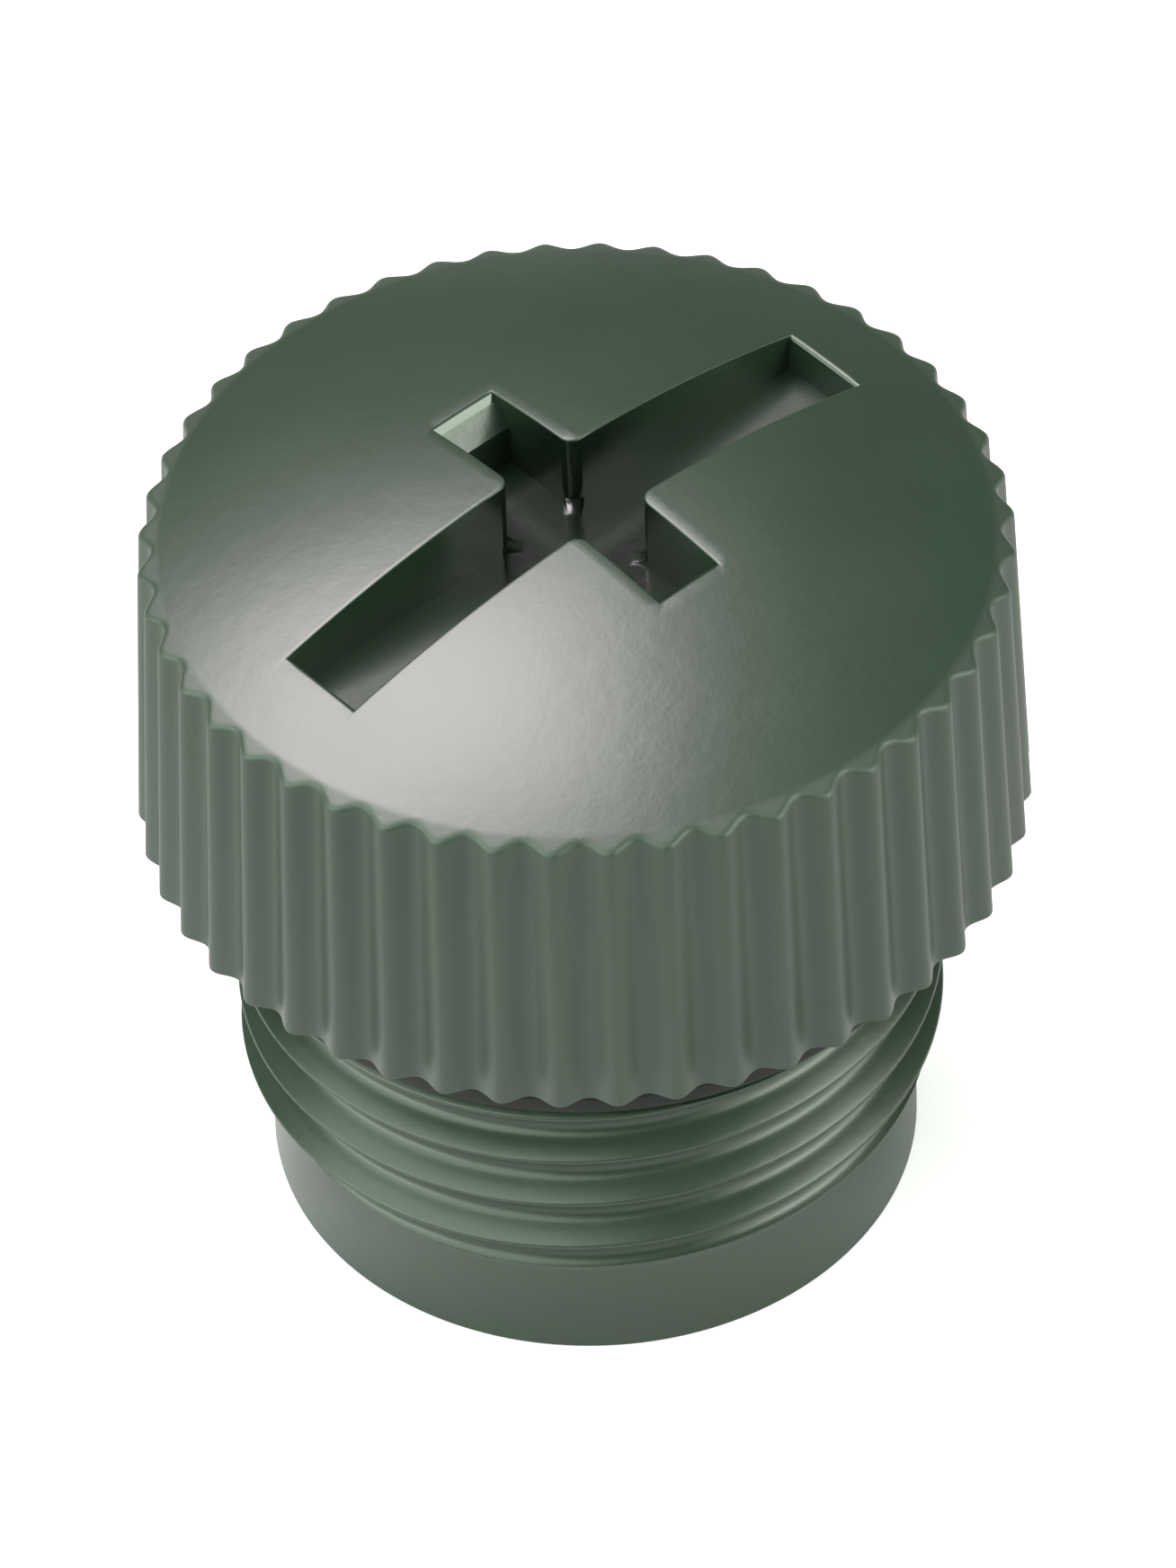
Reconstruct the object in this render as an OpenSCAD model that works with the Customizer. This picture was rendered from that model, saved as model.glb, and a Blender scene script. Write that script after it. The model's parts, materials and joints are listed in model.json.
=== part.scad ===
// Screw-in blanking plug for an unused M12 connector socket.
// One moulding with a knurled, domed head, a driver recess and a hollow shank,
// and a sealing ring that sits on the neck under the head.
// The axis is Z, the tip stands at Z = 0 and the long slot runs along X.

/* [Head] */
// Diameter over the knurl ridges at the head's underside
head_d = 15; // [14.4:0.1:17]
// Diameter over the knurl ridges at the rim of the dome
rim_d = 14.5; // [13.6:0.1:15]
// Height of the knurled side
knurl_h = 5.65; // [4.6:0.05:9]
// Height of the dome above the rim
dome_rise = 1.25; // [0.8:0.05:2]

/* [Knurl] */
// Number of grooves round the head
knurl_n = 48; // [36:1:52]
// Depth of a groove below the ridges
knurl_depth = 0.25; // [0.15:0.01:0.36]
// Width of the land left on a ridge at the rim
ridge_w = 0.14; // [0.06:0.01:0.2]

/* [Driver recess] */
// Length of the long slot
slot_l = 11.05; // [8:0.05:12]
// Width of the long slot
slot_w = 1.65; // [1.2:0.05:2.2]
// Length of the short cross slot
cross_l = 5.75; // [4.6:0.05:7]
// Width of the short cross slot
cross_w = 1.3; // [1:0.05:1.8]
// Depth of the recess floor below the crown of the dome
recess_depth = 1.5; // [1.3:0.05:2.2]
// Radius of the four corners where the slots cross
corner_r = 0.25; // [0.2:0.05:0.7]
// Lead-in chamfer at the ends of the long slot
slot_chamfer = 0.1; // [0.05:0.05:0.2]
// Lead-in chamfer at the ends of the cross slot
cross_chamfer = 0.2; // [0.1:0.05:0.3]

/* [Shank] */
// Length of the plain tip below the thread
tip_l = 1.9; // [1.5:0.1:4]
// Diameter of the plain tip
tip_d = 11.05; // [10.6:0.05:11.4]
// Chamfer round the end of the tip, outside and inside
tip_chamfer = 0.15; // [0.05:0.05:0.3]
// Diameter of the hollow that clears the socket's insert
hollow_d = 8.8; // [7.4:0.1:9.2]
// Thickness of the roof between the hollow and the recess floor
roof_t = 2.9; // [1.2:0.05:4]
// Radius where the hollow's wall meets its roof
hollow_round = 0.6; // [0.2:0.05:1.2]
// Width of the lead-in chamfer at the mouth of the hollow
mouth_chamfer = 0.2; // [0.05:0.05:0.3]

/* [Thread] */
// Major diameter of the thread, modelled as a plain cylinder
thread_d = 12; // [11.6:0.1:13]
// Length of the full thread
thread_l = 3.4; // [3:0.1:8]
// Height of the lead-in below the thread
lead_h = 0.9; // [0.3:0.1:1.5]
// Height of the run-out above the thread
runout_h = 0.2; // [0.1:0.05:0.5]

/* [Seal] */
// Diameter of the neck that carries the sealing ring
neck_d = 10.4; // [9.8:0.1:10.9]
// Thickness of the sealing ring's round section
ring_section = 1.5; // [1:0.1:1.9]
// How far the ring is flattened against the neck and against the head
ring_squeeze = 0.05; // [0.02:0.01:0.1]
// Free height between the ring and the thread's run-out
ring_gap = 0.15; // [0.05:0.05:0.5]

/* [Hidden] */
$fn = 96;
body_colour = [0.26, 0.3, 0.27];
ring_colour = [0.06, 0.06, 0.06];
// How far a cutter passes the face that it opens
over = 1;
// How far a small filler runs into the shape that it joins
bite = 0.1;

head_r = head_d / 2;
rim_r = rim_d / 2;
tip_r = tip_d / 2;
thread_r = thread_d / 2;
neck_r = neck_d / 2;
hollow_r = hollow_d / 2;

// Heights, from the tip upwards
lead_z = tip_l;
thread_z = lead_z + lead_h;
runout_z = thread_z + thread_l;
neck_z = runout_z + runout_h;
seat_z = neck_z + ring_gap + ring_section - ring_squeeze;
rim_z = seat_z + knurl_h;
crown_z = rim_z + dome_rise;
floor_z = crown_z - recess_depth;
roof_z = floor_z - roof_t;

// The dome is a cap of this sphere, through the rim and the crown
dome_r = (rim_r ^ 2 + dome_rise ^ 2) / (2 * dome_rise);

// The grooves are round, follow the head's draft and leave ridge_w at the rim
draft = atan((head_r - rim_r) / knurl_h);
groove_w = 2 * rim_r * sin(180 / knurl_n) - ridge_w;
groove_r = ((groove_w / 2) ^ 2 + knurl_depth ^ 2) / (2 * knurl_depth);

// The ring's section is a circle pressed flat on the neck and on the seat
ring_r = ring_section / 2;
ring_centre_r = neck_r - ring_squeeze + ring_r;
ring_centre_z = seat_z + ring_squeeze - ring_r;

// Head without its knurl: a slightly tapered drum under a spherical dome
module head_blank() {
    drum_h = knurl_h + dome_rise;
    top_r = head_r - drum_h * tan(draft);
    intersection() {
        translate([0, 0, seat_z]) cylinder(r1 = head_r, r2 = top_r, h = drum_h);
        translate([0, 0, crown_z - dome_r]) sphere(r = dome_r, $fn = 192);
    }
}

// One round groove of the knurl, leaning with the draft
module groove() {
    translate([head_r - knurl_depth + groove_r, 0, seat_z])
        rotate([0, -draft, 0])
            translate([0, 0, -over])
                cylinder(r = groove_r, h = knurl_h + dome_rise + 2 * over, $fn = 32);
}

module knurl() {
    for (i = [0 : knurl_n - 1])
        rotate([0, 0, (i + 0.5) * 360 / knurl_n]) groove();
}

// Filler that rounds one inner corner where the slots cross
module corner_web() {
    x = cross_w / 2;
    y = slot_w / 2;
    difference() {
        translate([x - bite, y - bite]) square(corner_r + bite);
        translate([x + corner_r, y + corner_r]) circle(r = corner_r, $fn = 48);
    }
}

// Outline of the two crossed slots
module recess_outline() {
    square([slot_l, slot_w], center = true);
    square([cross_w, cross_l], center = true);
    for (sx = [0, 1], sy = [0, 1])
        mirror([sx, 0]) mirror([0, sy]) corner_web();
}

// Height of the dome's surface at a distance from the axis
function dome_z(r) = crown_z - dome_r + sqrt(dome_r ^ 2 - r ^ 2);

// Wedge that opens the end of a slot at the surface, for a slot along X
module end_chamfer(reach, width, size) {
    z = dome_z(reach);
    translate([0, width / 2, 0])
        rotate([90, 0, 0])
            linear_extrude(height = width)
                polygon([[reach - size, z - size], [reach, z - size],
                         [reach + 2 * size, z + size], [reach - size, z + size]]);
}

module driver_recess() {
    translate([0, 0, floor_z])
        linear_extrude(height = recess_depth + over) recess_outline();
    for (end = [0, 180])
        rotate([0, 0, end]) {
            end_chamfer(slot_l / 2, slot_w, slot_chamfer);
            rotate([0, 0, 90]) end_chamfer(cross_l / 2, cross_w, cross_chamfer);
        }
}

// Turned form of the shank, from the tip's end face to inside the head
module shank() {
    rotate_extrude()
        polygon([[0, 0], [tip_r - tip_chamfer, 0], [tip_r, tip_chamfer], [tip_r, lead_z],
                 [thread_r, thread_z], [thread_r, runout_z], [neck_r, neck_z],
                 [neck_r, seat_z + knurl_h / 2], [0, seat_z + knurl_h / 2]]);
}

// Blind hollow from the tip, rounded at its roof and chamfered at its mouth
module hollow() {
    translate([0, 0, -over]) cylinder(r = hollow_r, h = over + roof_z - hollow_round);
    translate([0, 0, roof_z - hollow_round]) {
        cylinder(r = hollow_r - hollow_round, h = hollow_round);
        intersection() {
            rotate_extrude()
                translate([hollow_r - hollow_round, 0]) circle(r = hollow_round, $fn = 48);
            cylinder(r = hollow_r + over, h = hollow_round + over);
        }
    }
    mouth_r = hollow_r + mouth_chamfer;
    translate([0, 0, -over])
        cylinder(r1 = mouth_r + over, r2 = hollow_r, h = mouth_chamfer + over);
}

// The moulding
module plug_body() {
    color(body_colour)
        difference() {
            union() {
                shank();
                head_blank();
            }
            knurl();
            driver_recess();
            hollow();
        }
}

// Sealing ring, seated on the neck and against the underside of the head
module o_ring() {
    color(ring_colour)
        difference() {
            translate([0, 0, ring_centre_z])
                rotate_extrude()
                    translate([ring_centre_r, 0]) circle(r = ring_r, $fn = 48);
            translate([0, 0, neck_z - over])
                cylinder(r = neck_r, h = seat_z - neck_z + 2 * over);
            translate([0, 0, seat_z]) cylinder(r = head_r, h = over);
        }
}

plug_body();
o_ring();
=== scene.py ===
# %% [markdown]
# # A screw-in blanking plug
#
# The object is a small plug that closes an unused round connector socket. It is
# one plastic moulding with a rubber sealing ring on its neck. This lesson models
# both pieces, gives them their finish and lights them as in a studio picture.
# The CAD model comes first: it fixes the size and the place of everything.

# %% Load the CAD frame
import json
import math

import bmesh
import bpy
from mathutils import Matrix, Vector


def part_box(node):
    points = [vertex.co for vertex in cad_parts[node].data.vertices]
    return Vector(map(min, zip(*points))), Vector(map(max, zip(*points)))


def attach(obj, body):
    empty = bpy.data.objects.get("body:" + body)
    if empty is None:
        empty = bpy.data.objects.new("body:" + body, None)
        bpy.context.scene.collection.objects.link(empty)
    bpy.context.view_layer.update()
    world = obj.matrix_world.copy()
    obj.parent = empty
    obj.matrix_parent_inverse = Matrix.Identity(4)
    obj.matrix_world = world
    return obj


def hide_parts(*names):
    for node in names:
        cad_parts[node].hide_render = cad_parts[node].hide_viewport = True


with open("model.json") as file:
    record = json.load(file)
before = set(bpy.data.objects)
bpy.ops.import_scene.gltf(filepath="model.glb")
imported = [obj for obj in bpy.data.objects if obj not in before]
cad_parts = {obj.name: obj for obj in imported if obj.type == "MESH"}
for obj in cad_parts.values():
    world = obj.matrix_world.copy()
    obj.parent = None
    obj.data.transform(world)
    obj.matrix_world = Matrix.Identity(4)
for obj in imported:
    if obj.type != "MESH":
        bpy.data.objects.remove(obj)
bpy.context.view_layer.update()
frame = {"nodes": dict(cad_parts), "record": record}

print("CAD nodes:", ", ".join(frame["nodes"]))

# %% [markdown]
# ## Sizes
#
# The plug is only 15 mm across, and many of Blender's operators have default
# tolerances that suit a room and not a screw. So each piece is modelled with one
# unit as a millimetre and brought to metres at the end. What the CAD model
# states is read from it: the outer sizes, the thread and the hollow. The rest
# are the sizes of the details that are made here, and three tolerances: how far
# off a picked place may be, how close two points are one, and how well a face has
# to face a direction.

# %% Sizes in millimetres
MM = 0.001

body_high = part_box("plug_body")[1]
ring_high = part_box("o_ring")[1]
mounts = {mount["name"]: mount for mount in frame["record"]["mounts"]}
thread_mount = mounts["thread"]
hollow_mount = mounts["insert_bore"]

HEAD_R = body_high[0] / MM
SEAT_Z = ring_high[2] / MM
RING_OUTER_R = ring_high[0] / MM
THREAD_R = thread_mount["dims"]["r_mm"]
THREAD_L = thread_mount["dims"]["length_mm"]
THREAD_MID_Z = thread_mount["pos_m"][2] / MM
HOLLOW_R = hollow_mount["dims"]["r_mm"]

RIM_R = 7.25
KNURL_H = 5.65
DOME_RISE = 1.25
RIM_Z = SEAT_Z + KNURL_H
CROWN_Z = RIM_Z + DOME_RISE
DOME_R = (RIM_R ** 2 + DOME_RISE ** 2) / (2 * DOME_RISE)

THREAD_Z = THREAD_MID_Z - THREAD_L / 2
RUNOUT_Z = THREAD_MID_Z + THREAD_L / 2

NEAR = 0.01
MERGE = 0.0005
FACING = 0.99
print(f"head {2 * HEAD_R:.2f} mm, crown at {CROWN_Z:.2f} mm, dome radius {DOME_R:.2f} mm")

# %% [markdown]
# ## Helpers for edit mode
#
# A hand modeller clicks on what the next tool should change. Here a short test
# on place or direction does the clicking. Everything else is deselected first,
# because an operator acts on all that is selected.


# %% Selecting, modifying and reporting
def work_on(piece):
    """Makes one object the only selected one, and the active one."""
    bpy.ops.object.select_all(action="DESELECT")
    piece.select_set(True)
    bpy.context.view_layer.objects.active = piece


def pick(piece, kind, test):
    """In edit mode, selects only the VERT, EDGE or FACE elements that pass the test."""
    bpy.ops.mesh.select_mode(type=kind)
    bpy.ops.mesh.select_all(action="DESELECT")
    mesh = bmesh.from_edit_mesh(piece.data)
    elements = {"VERT": mesh.verts, "EDGE": mesh.edges, "FACE": mesh.faces}[kind]
    picked = [element for element in elements if test(element)]
    for element in picked:
        element.select_set(True)
    bmesh.update_edit_mesh(piece.data)
    return len(picked)


def radius(point):
    """Distance of a point from the plug's axis."""
    return math.hypot(point.x, point.y)


def is_crease(edge, degrees=20):
    """Says whether the two faces at an edge meet at more than an angle."""
    return len(edge.link_faces) == 2 and edge.calc_face_angle() > math.radians(degrees)


def apply_modifier(piece, kind, **settings):
    """Adds one modifier with its settings and applies it to the mesh."""
    work_on(piece)
    modifier = piece.modifiers.new(kind.title(), kind)
    for name, value in settings.items():
        setattr(modifier, name, value)
    bpy.ops.object.modifier_apply(modifier=modifier.name)


def combine(piece, other, operation):
    """Joins, cuts or trims a piece with another solid, which is then deleted."""
    apply_modifier(piece, "BOOLEAN", operation=operation, object=other, solver="EXACT")
    bpy.data.objects.remove(other)


def report(piece):
    """Prints a piece's size and its number of faces."""
    sizes = " x ".join(f"{size:.4g}" for size in piece.dimensions)
    print(f"{piece.name}: {len(piece.data.polygons)} faces, {sizes}")


# %% [markdown]
# ## The head: knurl
#
# The head is a drum that narrows a little towards the top, so that it leaves its
# mould, with 48 round grooves down its side. One could cut 48 cylinders out of a
# drum, but their edges would need rounding afterwards. It is simpler to start from
# a cylinder with many sides and to draw in the sides that lie in a groove. All
# grooves are alike, so one resize serves the same step of all 48.
#
# The section across the grooves is an even wave, a little wider in the grooves than
# on the ridges.

# %% Knurled drum
GROOVES = 48
STEPS_PER_GROOVE = 18
GROOVE_DEPTH = 0.23
RIDGE_SHARPNESS = 0.1


def groove_depth(step):
    """Depth below the ridges at one of the steps from a ridge to the next."""
    wave = (1 - math.cos(math.tau * step / STEPS_PER_GROOVE)) / 2
    return GROOVE_DEPTH * (wave + RIDGE_SHARPNESS * wave * (1 - wave))


def step_of(vertex):
    """Which step of its groove a vertex lies on."""
    turn = math.atan2(vertex.co.y, vertex.co.x) / math.tau
    return round(turn * GROOVES * STEPS_PER_GROOVE) % STEPS_PER_GROOVE


drum_h = CROWN_Z - SEAT_Z
bpy.ops.object.select_all(action="DESELECT")
bpy.ops.mesh.primitive_cylinder_add(
    vertices=GROOVES * STEPS_PER_GROOVE, radius=HEAD_R, depth=drum_h,
    location=(0, 0, SEAT_Z + drum_h / 2),
)
body = bpy.context.object
body.name = "plug_moulding"
bpy.ops.object.transform_apply(location=True)
bpy.ops.object.mode_set(mode="EDIT")
for step in range(STEPS_PER_GROOVE):
    pick(body, "VERT", lambda vertex: step_of(vertex) == step)
    inwards = 1 - groove_depth(step) / HEAD_R
    bpy.ops.transform.resize(value=(inwards, inwards, 1), center_override=(0, 0, 0))
pick(body, "VERT", lambda vertex: vertex.co.z > CROWN_Z - NEAR)
narrowing = RIM_R / HEAD_R
bpy.ops.transform.resize(value=(narrowing, narrowing, 1), center_override=(0, 0, 0))
report(body)

# %% [markdown]
# The mould leaves a small round on the rim of the dome and a smaller one at the
# foot of the knurl. Both are bevels of the outline while the top is still flat. A
# narrow band is inset next to the round, so that its shading ends there.

# %% Round the rim
RIM_ROUND = 0.08
FOOT_ROUND = 0.03
RIM_BAND = 0.06


def on_outline(edge, height):
    """Says whether an edge lies on the drum's outline at a height."""
    return all(abs(end.co.z - height) < NEAR for end in edge.verts) and is_crease(edge)


for height, width in ((CROWN_Z, RIM_ROUND), (SEAT_Z, FOOT_ROUND)):
    count = pick(body, "EDGE", lambda edge: on_outline(edge, height))
    bpy.ops.mesh.bevel(offset=width, segments=3, clamp_overlap=False)
    print("rounded", count, "edges at", round(height, 2))
pick(body, "FACE", lambda face: face.normal.z > FACING and len(face.verts) > GROOVES)
bpy.ops.mesh.inset(thickness=RIM_BAND, use_even_offset=True)
bpy.ops.object.mode_set(mode="OBJECT")

# %% [markdown]
# ## The driver recess
#
# A coin or a flat driver fits the long slot, a cross driver fits both. The recess
# is the print of a steel core, so the core is modelled first, as a small cross that
# is extruded from a cube, and then taken away from the head. Where the arms meet,
# the core has hollow corners, which leave four rounded posts, and just over the
# floor it is eased a little, so that each post flares at its foot.
#
# The ends of the long slot have a small lead-in under the crown. Those of the short
# slot stand upright over the floor, then lean out as a ramp, and end in a slightly
# flatter bevel that shows as a thin white line. Each slope is made in the same way:
# the end face is cut across at a depth, and all above the cut is moved outwards.

# %% Steel core of the recess
SLOT_L = 11.05
SLOT_W = 1.65
CROSS_L = 4.73
CROSS_W = 1.3
RECESS_DEPTH = 1.5
POST_ROUND = 0.25
FOOT_FLARE = 0.21
FOOT_H = 0.11
CORE_ABOVE = 0.5
SLANTED = 0.1

# Slopes of an end, as the depth where each starts and its angle from upright
SLOT_ENDS = ((0.06, 45),)
CROSS_ENDS = ((0.55, 37.5), (0.15, 42.8))

FLOOR_Z = CROWN_Z - RECESS_DEPTH
core_h = RECESS_DEPTH + CORE_ABOVE
bpy.ops.object.select_all(action="DESELECT")
bpy.ops.mesh.primitive_cube_add(size=1, location=(0, 0, FLOOR_Z + core_h / 2))
core = bpy.context.object
core.name = "recess_core"
core.scale = (CROSS_W, SLOT_W, core_h)
bpy.ops.object.transform_apply(location=True, scale=True)
bpy.ops.object.mode_set(mode="EDIT")
arms = (
    (Vector((1, 0, 0)), SLOT_L / 2, SLOT_ENDS),
    (Vector((-1, 0, 0)), SLOT_L / 2, SLOT_ENDS),
    (Vector((0, 1, 0)), CROSS_L / 2, CROSS_ENDS),
    (Vector((0, -1, 0)), CROSS_L / 2, CROSS_ENDS),
)
for way, reach, slopes in arms:
    pick(core, "FACE", lambda face: face.normal.dot(way) > FACING
         and radius(face.calc_center_median()) < SLOT_W / 2 + NEAR)
    start = abs(way.x) * CROSS_W / 2 + abs(way.y) * SLOT_W / 2
    bpy.ops.mesh.extrude_region_move(TRANSFORM_OT_translate={"value": way * (reach - start)})


def is_post_edge(edge):
    """Says whether an edge of the core is one of its four hollow corners."""
    place, other = (end.co for end in edge.verts)
    upright = abs(place.z - other.z) > core_h / 2
    off_corner = max(abs(abs(place.x) - CROSS_W / 2), abs(abs(place.y) - SLOT_W / 2))
    return upright and off_corner < NEAR


def is_post_face(face):
    """Says whether a face is part of a hollow corner, and so faces along neither slot."""
    return min(abs(face.normal.x), abs(face.normal.y)) > SLANTED


def is_post_foot(vertex):
    """Says whether a vertex lies at the floor, on the round of a hollow corner."""
    place = vertex.co
    inside = min(abs(place.x) - CROSS_W / 2, abs(place.y) - SLOT_W / 2)
    return inside > NEAR / 2 and place.z < FLOOR_Z + NEAR and radius(place) < CROSS_W


pick(core, "EDGE", is_post_edge)
bpy.ops.mesh.bevel(offset=POST_ROUND, segments=6, clamp_overlap=False)
pick(core, "FACE", is_post_face)
bpy.ops.mesh.bisect(plane_co=(0, 0, FLOOR_Z + FOOT_H), plane_no=(0, 0, 1))
pick(core, "VERT", is_post_foot)
foot = 1 - FOOT_FLARE / math.hypot(CROSS_W / 2, SLOT_W / 2)
bpy.ops.transform.resize(value=(foot, foot, 1), center_override=(0, 0, 0))

# %% Slope the ends of the slots and cut the recess
for way, reach, slopes in arms:
    lean = 0
    for depth, tilt in slopes:
        pick(core, "FACE", lambda face: face.calc_center_median().dot(way) > reach - NEAR)
        bpy.ops.mesh.bisect(plane_co=(0, 0, CROWN_Z - depth), plane_no=(0, 0, 1))
        pick(core, "VERT", lambda vertex: vertex.co.z > CROWN_Z
             and vertex.co.dot(way) > reach - NEAR)
        extra = math.tan(math.radians(tilt)) - lean
        bpy.ops.transform.translate(value=way * (depth + CORE_ABOVE) * extra)
        lean += extra
bpy.ops.object.mode_set(mode="OBJECT")
report(core)
combine(body, core, "DIFFERENCE")
report(body)

# %% [markdown]
# The edges of the recess catch the light in thin lines, so they get a true small
# round. It is cut while the top is flat, which keeps it even.

# %% Round the edges of the recess
RECESS_ROUND = 0.035
RECESS_REACH = 6.5


def is_recess_edge(edge):
    """Says whether an edge lies where the recess opens at the flat top."""
    ends = [end.co for end in edge.verts]
    on_top = all(end.z > CROWN_Z - NEAR and radius(end) < RECESS_REACH for end in ends)
    return on_top and is_crease(edge, 10)


bpy.ops.object.mode_set(mode="EDIT")
count = pick(body, "EDGE", is_recess_edge)
bpy.ops.mesh.bevel(offset=RECESS_ROUND, segments=3, clamp_overlap=False)
print("rounded", count, "edges of the recess")

# %% [markdown]
# ## The dome
#
# A dome could be modelled round the recess, but the walls and the rounds would then
# have to follow a curved surface. Here the flat top, with the rounds along the
# recess, is first cut into a fine net and then lifted as a whole. Proportional
# editing with the sphere falloff does it exactly: a lift by the dome's own radius,
# with that radius as the reach, turns a plane into a cap of that sphere. One helper
# vertex on the axis leads the lift, and all below the top stays hidden, so that it
# keeps its place.

# %% Cut the top into a net
NET = 0.36


def is_top(face):
    """Says whether a face belongs to the flat top of the head or to the recess's edge."""
    place = face.calc_center_median()
    flat_or_edge = face.normal.z > FACING or radius(place) < RECESS_REACH
    return flat_or_edge and place.z > CROWN_Z - RECESS_ROUND


lines = int(RIM_R / NET)
for axis in (Vector((1, 0, 0)), Vector((0, 1, 0))):
    for line in range(-lines, lines):
        pick(body, "FACE", is_top)
        place = axis * (line + 0.5) * NET
        place.z = CROWN_Z
        bpy.ops.mesh.bisect(plane_co=place, plane_no=axis)
print("top has", pick(body, "FACE", is_top), "faces")

# %% Lift the top into a dome
TOP_BAND = 0.7

mesh = bmesh.from_edit_mesh(body.data)
leader = mesh.verts.new((0, 0, CROWN_Z))
bmesh.update_edit_mesh(body.data)
pick(body, "VERT", lambda vertex: vertex.co.z < CROWN_Z - TOP_BAND)
bpy.ops.mesh.hide(unselected=False)
pick(body, "VERT", lambda vertex: not vertex.hide and radius(vertex.co) < NEAR
     and not vertex.link_edges)
bpy.ops.transform.translate(
    value=(0, 0, DOME_R), use_proportional_edit=True, proportional_edit_falloff="SPHERE",
    proportional_size=DOME_R, use_proportional_connected=False,
)
bpy.ops.mesh.select_all(action="SELECT")
bpy.ops.transform.translate(value=(0, 0, -DOME_R))
pick(body, "VERT", lambda vertex: not vertex.hide and not vertex.link_edges)
bpy.ops.mesh.delete(type="VERT")
bpy.ops.mesh.reveal(select=False)
bpy.ops.object.mode_set(mode="OBJECT")
rim_heights = [vertex.co.z for vertex in body.data.vertices
               if radius(vertex.co) > RIM_R - RIM_ROUND and vertex.co.z > RIM_Z - DOME_RISE]
print(f"rim lies at {min(rim_heights):.2f} to {max(rim_heights):.2f} mm, meant {RIM_Z:.2f}")
report(body)

# %% [markdown]
# ## The shank
#
# The shank is a turned form: half of its section is drawn as a chain of vertices,
# which is spun once round the axis. It runs a little way up into the head, so that
# the two join well. The same tool makes the hollow inside.


# %% Turned solids
def turned(name, outline, steps):
    """Spins an outline of (radius, height) points, which starts and ends on the axis."""
    bpy.ops.object.select_all(action="DESELECT")
    bpy.ops.mesh.primitive_plane_add(size=1)
    piece = bpy.context.object
    piece.name = name
    bpy.ops.object.mode_set(mode="EDIT")
    bpy.ops.mesh.merge(type="CENTER")
    start = Vector((outline[0][0], 0, outline[0][1]))
    bpy.ops.mesh.select_all(action="SELECT")
    bpy.ops.transform.translate(value=start)
    for here, there in zip(outline, outline[1:]):
        stride = Vector((there[0] - here[0], 0, there[1] - here[1]))
        bpy.ops.mesh.extrude_vertices_move(TRANSFORM_OT_translate={"value": stride})
    bpy.ops.mesh.select_all(action="SELECT")
    bpy.ops.mesh.spin(steps=steps, angle=math.tau, center=(0, 0, 0), axis=(0, 0, 1))
    bpy.ops.mesh.select_all(action="SELECT")
    bpy.ops.mesh.remove_doubles(threshold=MERGE)
    bpy.ops.mesh.normals_make_consistent(inside=False)
    bpy.ops.object.mode_set(mode="OBJECT")
    return piece


def arc(centre, size, start, stop, steps=5):
    """Points of a round in an outline, between two angles in degrees."""
    points = []
    for step in range(steps + 1):
        angle = math.radians(start + (stop - start) * step / steps)
        points.append((centre[0] + size * math.cos(angle), centre[1] + size * math.sin(angle)))
    return points


# %% Blank of the shank
TIP_R = 5.525
TIP_ROUND = 0.05
LEAD_H = 0.9
RUNOUT_H = 0.2
NECK_R = 5.2
EMBED = 1
TURN_STEPS = 192

LEAD_Z = THREAD_Z - LEAD_H
NECK_Z = RUNOUT_Z + RUNOUT_H
shank = turned("shank", [
    (0, 0),
    *arc((TIP_R - TIP_ROUND, TIP_ROUND), TIP_ROUND, -90, 0),
    (TIP_R, LEAD_Z),
    (THREAD_R, THREAD_Z),
    (THREAD_R, RUNOUT_Z),
    (NECK_R, NECK_Z),
    (NECK_R, SEAT_Z + EMBED),
    (0, SEAT_Z + EMBED),
], TURN_STEPS)
report(shank)

# %% [markdown]
# ## The thread
#
# The thread is a right-hand M12 with a pitch of about 1 mm. The blank already has
# the thread's outer shape, with a long cone at its start, so only the groove between
# the turns has to be cut. The groove's section is drawn upwards as a chain of
# bends, each of which turns the surface from one slope to the next: over the round
# crest, down the slightly bulging flank, through the root and up to the next crest.
# The Screw modifier winds it up the axis, and the groove gets its own shallow start
# where it leaves the cone, as on a real screw.

# %% Section of the thread groove
# Slopes in degrees, the rest in millimetres
PITCH = 1.04
CREST_W = 0.02
CREST_ROUND = 0.06
CREST_EDGE = 10
FLANK_START = 54
FLANK_END = 62
FLANK_BULGE = 2.6
FLANK_BELOW = -60
ROOT_ROUND = 0.25
GROOVE_OUT = 0.25


def bend(outline, start, stop, size, steps=5):
    """Adds an arc to an outline, between two slopes; a negative size bends it hollow."""
    turn = math.radians(start)
    out, up = outline[-1]
    centre = (out - size * math.cos(turn), up - size * math.sin(turn))
    outline += arc(centre, size, start, stop, steps)[1:]


groove_outline = [(THREAD_R, 0)]
bend(groove_outline, CREST_EDGE, FLANK_START, CREST_ROUND)
bend(groove_outline, FLANK_START, FLANK_END, FLANK_BULGE)
bend(groove_outline, FLANK_END, 0, -ROOT_ROUND)
root_r = groove_outline[-1][0]
way_back = [groove_outline[-1]]
bend(way_back, 0, FLANK_BELOW, -ROOT_ROUND)
crest_arc = [(0, 0)]
bend(crest_arc, FLANK_BELOW, -CREST_EDGE, CREST_ROUND)
out, up = way_back[-1]
rise = THREAD_R - out - crest_arc[-1][0]
corner = (out + rise, up + rise / math.tan(math.radians(-FLANK_BELOW)))
way_back += [(corner[0] + dr, corner[1] + dz) for dr, dz in crest_arc]
root_flat = PITCH - CREST_W - way_back[-1][1]
groove_outline += [(dr, dz + root_flat) for dr, dz in way_back]
mouth_r = THREAD_R + GROOVE_OUT
groove_outline = [(mouth_r, 0), *groove_outline, (mouth_r, groove_outline[-1][1])]
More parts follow.
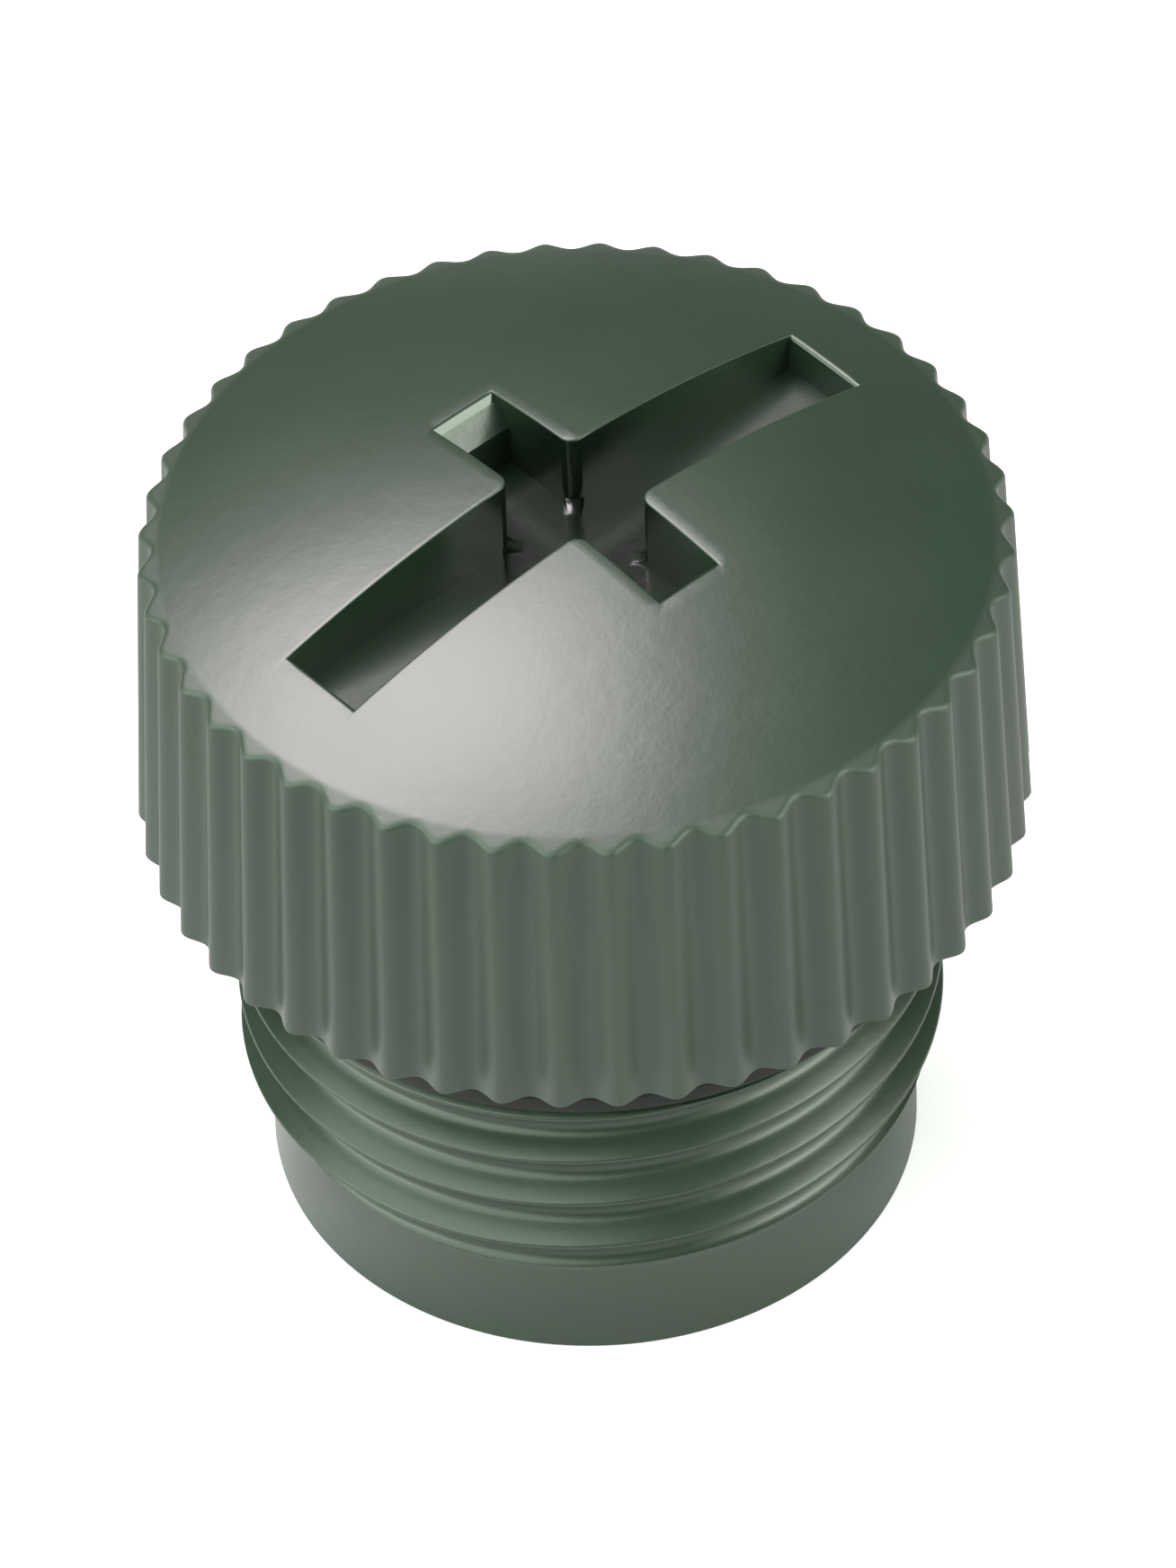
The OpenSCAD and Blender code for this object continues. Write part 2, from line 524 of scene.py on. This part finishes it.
print(f"thread depth {THREAD_R - root_r:.2f} mm, flat root {root_flat:.2f} mm")

# %% Wind the groove and cut it
TURNS = 5
COIL_START_Z = 1.31
COIL_STEPS = 128

bpy.ops.object.select_all(action="DESELECT")
bpy.ops.mesh.primitive_circle_add(vertices=len(groove_outline), radius=1)
coil = bpy.context.object
coil.name = "thread_groove"
bpy.ops.object.mode_set(mode="EDIT")
mesh = bmesh.from_edit_mesh(coil.data)
for vertex, (out, up) in zip(mesh.verts, groove_outline):
    vertex.co = (out, 0, COIL_START_Z + up)
bmesh.update_edit_mesh(coil.data)
bpy.ops.object.mode_set(mode="OBJECT")
apply_modifier(coil, "SCREW", axis="Z", angle=math.tau, screw_offset=PITCH, iterations=TURNS,
               steps=COIL_STEPS, render_steps=COIL_STEPS, use_smooth_shade=False)
bpy.ops.object.mode_set(mode="EDIT")
bpy.ops.mesh.select_all(action="SELECT")
bpy.ops.mesh.remove_doubles(threshold=MERGE)
bpy.ops.mesh.select_mode(type="EDGE")
bpy.ops.mesh.select_all(action="DESELECT")
bpy.ops.mesh.select_non_manifold()
bpy.ops.mesh.edge_face_add()
bpy.ops.mesh.select_all(action="SELECT")
bpy.ops.mesh.normals_make_consistent(inside=False)
bpy.ops.object.mode_set(mode="OBJECT")
report(coil)
combine(shank, coil, "DIFFERENCE")
report(shank)
combine(body, shank, "UNION")
report(body)

# %% [markdown]
# ## The hollow
#
# Seen from below, the plug is hollow, so that it clears the contact insert that
# stands in the socket. The mouth has a small lead-in, and the roof a round corner.

# %% Hollow
HOLLOW_ROUND = 0.6
ROOF_T = 2.9
MOUTH_CHAMFER = 0.2
BELOW = 1

ROOF_Z = FLOOR_Z - ROOF_T
hollow = turned("hollow", [
    (0, -BELOW),
    (HOLLOW_R + MOUTH_CHAMFER + BELOW, -BELOW),
    (HOLLOW_R, MOUTH_CHAMFER),
    *arc((HOLLOW_R - HOLLOW_ROUND, ROOF_Z - HOLLOW_ROUND), HOLLOW_ROUND, 0, 90),
    (0, ROOF_Z),
], TURN_STEPS // 2)
combine(body, hollow, "DIFFERENCE")
report(body)

# %% [markdown]
# ## Finishing
#
# The booleans leave a few double points and slivers, which are merged, and stray
# edges, which are deleted. Now and then a sliver goes missing on the thread's crest,
# so holes are closed too. Then the piece is brought to metres and shaded smooth,
# apart from its sharp edges. Weighted normals keep the flat faces flat next to the
# small rounds. The bevel at each end of the short slot meets its ramp at such a blunt
# angle that it would be smoothed away, so its edges are marked sharp.


# %% Finish a modelled piece
def finish_piece(piece, smooth_below=32):
    """Cleans a piece, brings it to metres and smooths its round faces."""
    work_on(piece)
    bpy.ops.object.mode_set(mode="EDIT")
    bpy.ops.mesh.select_all(action="SELECT")
    bpy.ops.mesh.remove_doubles(threshold=MERGE)
    bpy.ops.mesh.dissolve_degenerate(threshold=MERGE)
    bpy.ops.mesh.delete_loose()
    bpy.ops.mesh.select_all(action="SELECT")
    bpy.ops.mesh.fill_holes(sides=0)
    bpy.ops.object.mode_set(mode="OBJECT")
    piece.scale = (MM, MM, MM)
    bpy.ops.object.transform_apply(scale=True)
    bpy.ops.object.shade_smooth_by_angle(angle=math.radians(smooth_below))
    apply_modifier(piece, "WEIGHTED_NORMAL", keep_sharp=True, weight=80)


# %% Finish the moulding
END_BEVEL_TILT = (43, 49)


def is_end_bevel(face):
    """Says whether a face is the bevel at an end of the short slot."""
    place = face.calc_center_median()
    tilt = math.degrees(math.asin(min(1, max(-1, face.normal.z))))
    at_end = abs(place.x) < CROSS_W / 2 and abs(place.y) > CROSS_L / 2
    high = place.z > FLOOR_Z + RECESS_DEPTH / 3
    return at_end and high and END_BEVEL_TILT[0] < tilt < END_BEVEL_TILT[1]


work_on(body)
bpy.ops.object.mode_set(mode="EDIT")
print("end bevels:", pick(body, "FACE", is_end_bevel), "faces")
bpy.ops.mesh.region_to_loop()
bpy.ops.mesh.mark_sharp()
bpy.ops.object.mode_set(mode="OBJECT")
finish_piece(body)
print("loose edges:", sum(edge.is_loose for edge in body.data.edges))

# %% [markdown]
# ## The sealing ring
#
# The ring sits on the neck and is pressed against the head. It starts as a torus,
# gets the fine flash line that a rubber mould leaves round its outside, and is cut
# flat where it touches the moulding.

# %% Sealing ring
RING_SECTION = 1.5
RING_SQUEEZE = 0.05
RING_STEPS = 160
SECTION_STEPS = 40
FLASH = 1.004
FLASH_BAND = 0.002

ring_r = RING_SECTION / 2
ring_centre_r = RING_OUTER_R - ring_r
bpy.ops.object.select_all(action="DESELECT")
bpy.ops.mesh.primitive_torus_add(
    major_segments=RING_STEPS, minor_segments=SECTION_STEPS,
    major_radius=ring_centre_r, minor_radius=ring_r,
    location=(0, 0, SEAT_Z + RING_SQUEEZE - ring_r),
)
ring = bpy.context.object
ring.name = "sealing_ring"
bpy.ops.object.transform_apply(location=True)
bpy.ops.object.mode_set(mode="EDIT")
pick(ring, "VERT", lambda vertex: radius(vertex.co) > RING_OUTER_R - FLASH_BAND)
bpy.ops.transform.resize(value=(FLASH, FLASH, 1), center_override=(0, 0, 0))
bpy.ops.mesh.select_all(action="SELECT")
bpy.ops.mesh.bisect(plane_co=(0, 0, SEAT_Z), plane_no=(0, 0, 1), clear_outer=True, use_fill=True)
bpy.ops.object.mode_set(mode="OBJECT")
neck_tool = turned("neck_tool", [
    (0, NECK_Z), (NECK_R, NECK_Z), (NECK_R, SEAT_Z + EMBED), (0, SEAT_Z + EMBED),
], RING_STEPS)
combine(ring, neck_tool, "DIFFERENCE")
report(ring)
finish_piece(ring)

# %% [markdown]
# ## Shader maths
#
# A finish is a small calculation on noise patterns. Written as nodes it is hard to
# read, so one small class wraps a socket and turns Python's operators into Math
# nodes, and one method adds any other node.


# %% Socket class
class Wire:
    """An output socket that can be used in Python expressions."""

    def __init__(self, tree, socket):
        self.tree = tree
        self.socket = socket

    def feed(self, socket, value):
        """Links or sets one input socket."""
        if isinstance(value, Wire):
            self.tree.links.new(value.socket, socket)
        else:
            socket.default_value = value

    def add(self, kind, settings=None, output=0, **inputs):
        """Adds a node with its settings, then feeds its inputs by name or by number."""
        node = self.tree.nodes.new(kind)
        for name, value in (settings or {}).items():
            setattr(node, name, value)
        for name, value in inputs.items():
            key = int(name[1:]) if name[0] == "_" else name.replace("_", " ")
            self.feed(node.inputs[key], value)
        return Wire(self.tree, node.outputs[output])

    def output(self, which):
        """Another output of the same node, by name or by number."""
        return Wire(self.tree, self.socket.node.outputs[which])

    def maths(self, operation, first, second):
        """Adds one Math node for two values."""
        return self.add("ShaderNodeMath", {"operation": operation}, _0=first, _1=second)

    def __add__(self, other):
        return self.maths("ADD", self, other)

    def __sub__(self, other):
        return self.maths("SUBTRACT", self, other)

    def __rsub__(self, other):
        return self.maths("SUBTRACT", other, self)

    def __mul__(self, other):
        return self.maths("MULTIPLY", self, other)

    def __pow__(self, other):
        return self.maths("POWER", self, other)

    def at_least(self, other):
        """The larger of this value and another."""
        return self.maths("MAXIMUM", self, other)

    __radd__ = __add__
    __rmul__ = __mul__


def new_material(name):
    """Makes a material and returns it with its shader, and a wire of object coordinates."""
    material = bpy.data.materials.new(name)
    material.use_nodes = True
    tree = material.node_tree
    shader = tree.nodes["Principled BSDF"]
    coordinates = tree.nodes.new("ShaderNodeTexCoord")
    return material, shader, Wire(tree, coordinates.outputs["Object"])


def noise(place, size_mm, detail):
    """A noise pattern whose lumps are about as large as a size in millimetres."""
    return place.add("ShaderNodeTexNoise", Vector=place, Scale=1 / (size_mm * MM), Detail=detail)


def fade(value, low_mm, high_mm):
    """Rises smoothly from 0 to 1 while a length goes from one size to another."""
    return value.add("ShaderNodeMapRange", {"interpolation_type": "SMOOTHSTEP"},
                     Value=value, From_Min=low_mm * MM, From_Max=high_mm * MM)


def mix_colours(factor, first, second):
    """Blends two colours; 6, 7 and output 2 are the colour sockets of the Mix node."""
    return factor.add("ShaderNodeMix", {"data_type": "RGBA"}, output=2,
                      Factor=factor, _6=first, _7=second)


# %% [markdown]
# ## Moulded plastic
#
# The moulding is dark grey plastic with a faint green cast. Its satin gloss comes
# from a spark-eroded mould: a very fine grain that blurs the reflections. Over it
# lie a slight waviness from shrinkage and cloudy patches of gloss, where the melt
# met the steel a little hotter or colder. The side of the head, the thread and the
# tip are duller than the dome.
#
# The recess comes from a smoother core. In its middle and along its lip the plastic
# is shinier. Its colour holds painted shade, a little all over and most in its middle.
# Masks find these places by the height, the distance from the axis and the
# distance from the centre of the dome's sphere, all of which are object coordinates.


# %% Body plastic
GRAIN_SIZE, LUMP_SIZE, CLOUD_SIZE = 0.09, 0.45, 3.0
GRAIN_HEIGHT, LUMP_HEIGHT = 0.0015, 0.004
DARK_TINT, LIGHT_TINT = (0.010, 0.019, 0.012, 1), (0.014, 0.025, 0.016, 1)
# Colour of the painted shade in the recess, darker than the plastic itself
PAINTED_SHADE_TINT = (0.002, 0.003, 0.002, 1)
ROUGHNESS = 0.29
PLASTIC_IOR = 1.5

# Where the masks fade, in millimetres from the axis
SIDE_FROM = (6.85, 7.0)
# The painted shade of the recess's middle fades out between these distances
PAINTED_SHADE_MIDDLE = (1.3, 2.8)
SHINY_MIDDLE = (1.5, 3.4)

# The same from the dome's surface, and from the recess floor
SUNK_BELOW = (-0.05, -0.02)
LIP_ABOVE = (-0.16, -0.13)
UNDER_FLOOR = (-0.2, -0.1)


def body_plastic():
    """Satin moulded plastic, with a smoother recess and painted shade in the recess."""
    material, shader, place = new_material("body_plastic")
    grain = noise(place, GRAIN_SIZE, detail=3)
    lumps = noise(place, LUMP_SIZE, detail=2)
    clouds = noise(place, CLOUD_SIZE, detail=3)
    axes = place.add("ShaderNodeSeparateXYZ", Vector=place)
    height_z = axes.output("Z")
    from_axis = (axes * axes + axes.output("Y") ** 2) ** 0.5
    from_centre = (from_axis ** 2 + (height_z - (CROWN_Z - DOME_R) * MM) ** 2) ** 0.5

    side = fade(from_axis, *SIDE_FROM)
    sunk = 1 - fade(from_centre, *(DOME_R + level for level in SUNK_BELOW))
    recess = sunk * fade(height_z, *(FLOOR_Z + level for level in UNDER_FLOOR)) * (1 - side)
    lip = fade(from_centre, *(DOME_R + level for level in LIP_ABOVE))
    polish = recess * lip.at_least(1 - fade(from_axis, *SHINY_MIDDLE))

    tint = mix_colours(clouds, DARK_TINT, LIGHT_TINT)
    # Painted shade: the recess is darkened a little all over and most in its middle, which lies
    # in deep shade
    painted_recess_shade = recess * (0.15 + 0.7 * (1 - fade(from_axis, *PAINTED_SHADE_MIDDLE)))
    place.feed(shader.inputs["Base Color"], mix_colours(painted_recess_shade, tint, PAINTED_SHADE_TINT))
    dullness = 0.05 * clouds + 0.04 * grain + 0.14 * side - 0.17 * polish
    place.feed(shader.inputs["Roughness"], ROUGHNESS + dullness)
    height = GRAIN_HEIGHT * grain + LUMP_HEIGHT * lumps
    bump = place.add("ShaderNodeBump", Strength=1.0, Distance=MM, Height=height)
    place.feed(shader.inputs["Normal"], bump)
    shader.inputs["IOR"].default_value = PLASTIC_IOR
    return material


# %% [markdown]
# ## Rubber
#
# The ring is black nitrile rubber: dull, nearly without reflections, with a fine
# speckle of mould release.


# %% Seal rubber
SPECKLE_SIZE = 0.12
SPECKLE_HEIGHT = 0.006
RUBBER_DARK, RUBBER_LIGHT = (0.006, 0.006, 0.006, 1), (0.013, 0.013, 0.013, 1)


def seal_rubber():
    """Dull black rubber with a fine speckle."""
    material, shader, place = new_material("seal_rubber")
    speckle = noise(place, SPECKLE_SIZE, detail=3)
    place.feed(shader.inputs["Base Color"], mix_colours(speckle, RUBBER_DARK, RUBBER_LIGHT))
    place.feed(shader.inputs["Roughness"], 0.62 + 0.15 * speckle)
    bump = place.add("ShaderNodeBump", Strength=0.6, Distance=MM, Height=SPECKLE_HEIGHT * speckle)
    place.feed(shader.inputs["Normal"], bump)
    shader.inputs["Specular IOR Level"].default_value = 0.15
    return material


# %% [markdown]
# ## Places in the frame
#
# Each piece gets its material and takes the place of its CAD node. Nothing moves on
# a plug, so both ride on the root.


# %% Put the pieces in the frame
def dress(piece, material, node):
    """Gives a piece its material, hides the CAD node it stands for and hangs it on the root."""
    piece.data.materials.clear()
    piece.data.materials.append(material)
    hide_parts(node)
    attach(piece, "root")


dress(body, body_plastic(), "plug_body")
dress(ring, seal_rubber(), "o_ring")

# %% [markdown]
# ## Studio
#
# The camera looks down at about 45 degrees, from fairly close. Its place is given in
# a frame of its own, which is the object's frame turned about the axis, so that the
# lamps can be placed from the picture's point of view.

# %% Camera
PHOTO_H = 1744
VIEW_TURN = math.radians(-40.5)
VIEW_ELEVATION = math.radians(45.4)
VIEW_ROLL = math.radians(1.95)
VIEW_DISTANCE = 0.220
PIXELS_PER_MM = 66.27
AIM = Vector((0.057, 0, 7.966)) * MM
SENSOR = 36.0

view_frame = Matrix.Rotation(VIEW_TURN, 3, "Z")
level = view_frame @ Vector((1, 0, 0))
ahead = view_frame @ Vector((0, 1, 0))
back = -math.cos(VIEW_ELEVATION) * ahead + math.sin(VIEW_ELEVATION) * Vector((0, 0, 1))
upright = back.cross(level)
right = math.cos(VIEW_ROLL) * level - math.sin(VIEW_ROLL) * upright
up = math.sin(VIEW_ROLL) * level + math.cos(VIEW_ROLL) * upright

lens = bpy.data.cameras.new("camera")
lens.sensor_fit = "VERTICAL"
lens.sensor_height = SENSOR
lens.lens = PIXELS_PER_MM * VIEW_DISTANCE / MM * SENSOR / PHOTO_H
lens.clip_start = 0.01
camera = bpy.data.objects.new("camera", lens)
bpy.context.scene.collection.objects.link(camera)
turn = Matrix((right, up, back)).transposed().to_4x4()
camera.matrix_world = Matrix.Translation(view_frame @ AIM + VIEW_DISTANCE * back) @ turn
bpy.context.scene.camera = camera
bpy.context.scene.view_settings.view_transform = "Standard"
print(f"lens {lens.lens:.1f} mm")

# %% [markdown]
# A square softbox hangs level, above and behind the plug and a little to the left.
# Its mirror image in the dome is the broad sheen, which ends just left of the middle.
# A large soft fill on the left and a low card below it light the left flank. On the
# right a strip picks out the ends of the short slot and the upper flanks of the
# thread, and a low wide card keeps the knurl from going black. The sheen in the
# picture is slightly pink and the rest greener than the plastic would be in white
# light, so the lamps are tinted a little. A lamp is given by how bright its face is,
# so that it can be resized and still be as bright in a reflection.


# %% Lights
def softbox(name, place, aim, size, radiance, colour):
    """Hangs a rectangular lamp, placed in the camera's own frame, that points at an aim."""
    lamp = bpy.data.lights.new(name, "AREA")
    lamp.shape = "RECTANGLE"
    lamp.size, lamp.size_y = size
    lamp.energy = radiance * 4 * size[0] * size[1]
    lamp.color = colour
    holder = bpy.data.objects.new(name, lamp)
    bpy.context.scene.collection.objects.link(holder)
    away = (view_frame @ (Vector(place) - Vector(aim))).normalized()
    upwards = Vector((0, 0, 1)) if abs(away.z) < 0.99 else ahead
    across = upwards.cross(away).normalized()
    axes = Matrix((across, away.cross(across), away)).transposed().to_4x4()
    holder.matrix_world = Matrix.Translation(view_frame @ Vector(place)) @ axes


def heading(azimuth, elevation, distance):
    """A place given by azimuth from the picture's right, elevation and distance."""
    turn, lift = math.radians(azimuth), math.radians(elevation)
    flat = distance * math.cos(lift)
    return (flat * math.cos(turn), flat * math.sin(turn), distance * math.sin(lift))


CENTRE = (0, 0, 0.010)
KEY_PLACE = (-0.135, 0.203, 0.460)
KEY_FOOT = (-0.135, 0.203, 0.0)
softbox("key_softbox", KEY_PLACE, KEY_FOOT, (0.316, 0.315), 13.5, (1.0, 0.92, 0.95))

# Name, heading, size, brightness and colour of the lamps that face the plug
side_lamps = (
    ("left_fill", (214, 41, 0.50), (0.700, 0.620), 3.8, (0.83, 1.0, 0.84)),
    ("right_strip", (338, 38, 0.50), (0.290, 0.200), 9.4, (0.87, 1.0, 0.82)),
    ("left_card", (202, 10, 0.30), (0.220, 0.075), 5.3, (0.87, 1.0, 0.85)),
    ("right_card", (338, 15, 0.40), (0.500, 0.220), 3.0, (0.87, 1.0, 0.85)),
)
for name, direction, size, radiance, colour in side_lamps:
    softbox(name, heading(*direction), CENTRE, size, radiance, colour)

# %% Room
ROOM_COLOUR = (0.9, 1.0, 0.85, 1)
ROOM_STRENGTH = 0.09

world = bpy.context.scene.world or bpy.data.worlds.new("room")
bpy.context.scene.world = world
world.use_nodes = True
room = world.node_tree.nodes["Background"]
room.inputs["Color"].default_value = ROOM_COLOUR
room.inputs["Strength"].default_value = ROOM_STRENGTH

# %% [markdown]
# The plug stands on a large pale sheet. To the camera, and in reflections, the sheet
# also glows a little, which brings it to white whatever the falloff of the lamps. It
# still shows the plug's faint shadow, because only a part of its light is its own.
# Its colour leans a little to pink, against the green of the lamps. It lies a hair
# below the tip, so that no two faces are in the same plane.

# %% Floor
FLOOR_SIZE = 3.0
FLOOR_DROP = 0.00002
FLOOR_COLOUR = (0.50, 0.485, 0.50, 1)
FLOOR_WHITE = 0.54
FLOOR_GLOW = 0.18

bpy.ops.object.select_all(action="DESELECT")
bpy.ops.mesh.primitive_plane_add(size=FLOOR_SIZE, location=(0, 0, -FLOOR_DROP))
bpy.ops.object.transform_apply(location=True)
floor = bpy.context.object
floor.name = "floor"
sheet, shader, place = new_material("white_sheet")
shader.inputs["Base Color"].default_value = FLOOR_COLOUR
shader.inputs["Roughness"].default_value = 0.9
shader.inputs["Specular IOR Level"].default_value = 0.0
seen = place.add("ShaderNodeLightPath", output="Is Camera Ray")
mirrored = seen.output("Is Glossy Ray")
shown_through = seen.output("Is Transmission Ray")
glow = FLOOR_WHITE * seen + FLOOR_GLOW * (mirrored + shown_through)
place.feed(shader.inputs["Emission Strength"], glow)
shader.inputs["Emission Color"].default_value = (1, 1, 1, 1)
floor.data.materials.append(sheet)
